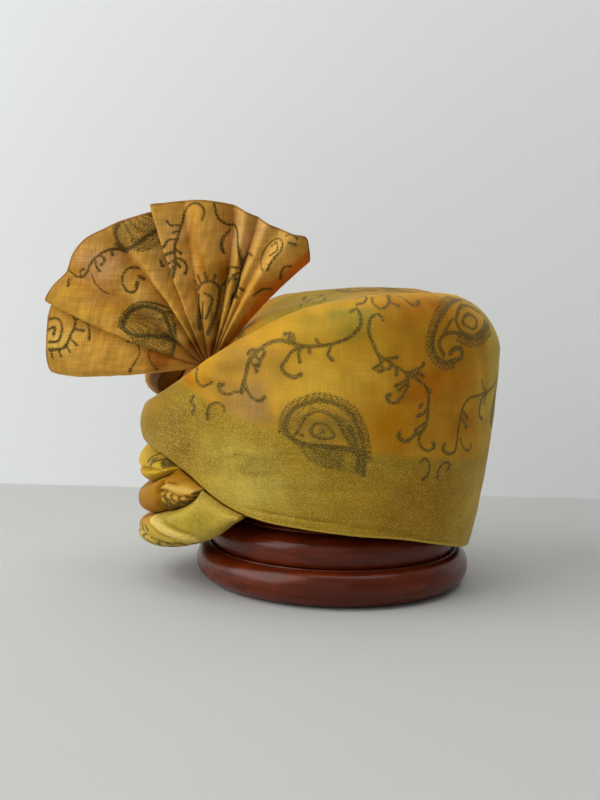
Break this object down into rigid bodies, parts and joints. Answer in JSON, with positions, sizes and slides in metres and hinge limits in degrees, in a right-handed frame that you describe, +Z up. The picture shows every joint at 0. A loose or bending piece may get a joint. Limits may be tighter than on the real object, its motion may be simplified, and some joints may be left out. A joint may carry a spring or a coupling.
{
  "type": "tied turban on a turned wooden stand",
  "caption": "Wound silk turban with a wide gold-bordered band, crossed forehead folds and a standing pleated fan, resting on a round turned wooden display stand.",
  "frame": {"origin": "centre of the stand's flat underside", "axes": "+Z up, -X is where the wearer faces, -Y is the wearer's left"},
  "size_m": [0.3046, 0.2023, 0.2602],
  "materials": {
    "stand_wood": "turned hardwood, dark red-brown, glossy lacquer",
    "crown_silk": "mustard-olive silk, slubby weave",
    "printed_silk": "orange and mustard silk with a dark olive block print and a gold tissue border",
    "fold_silk": "rolled folds of the same silk, border and print showing",
    "fan_silk": "crisp pleated orange silk with a dark olive block print"
  },
  "bodies": {
    "root": {"stand_base": "stand_wood", "stand_post": "stand_wood", "crown_wrap": "crown_silk", "outer_wrap": "printed_silk", "fold_second": "fold_silk", "fold_third": "fold_silk", "fold_fourth": "fold_silk", "fan": "fan_silk"}
  },
  "joints": []
}
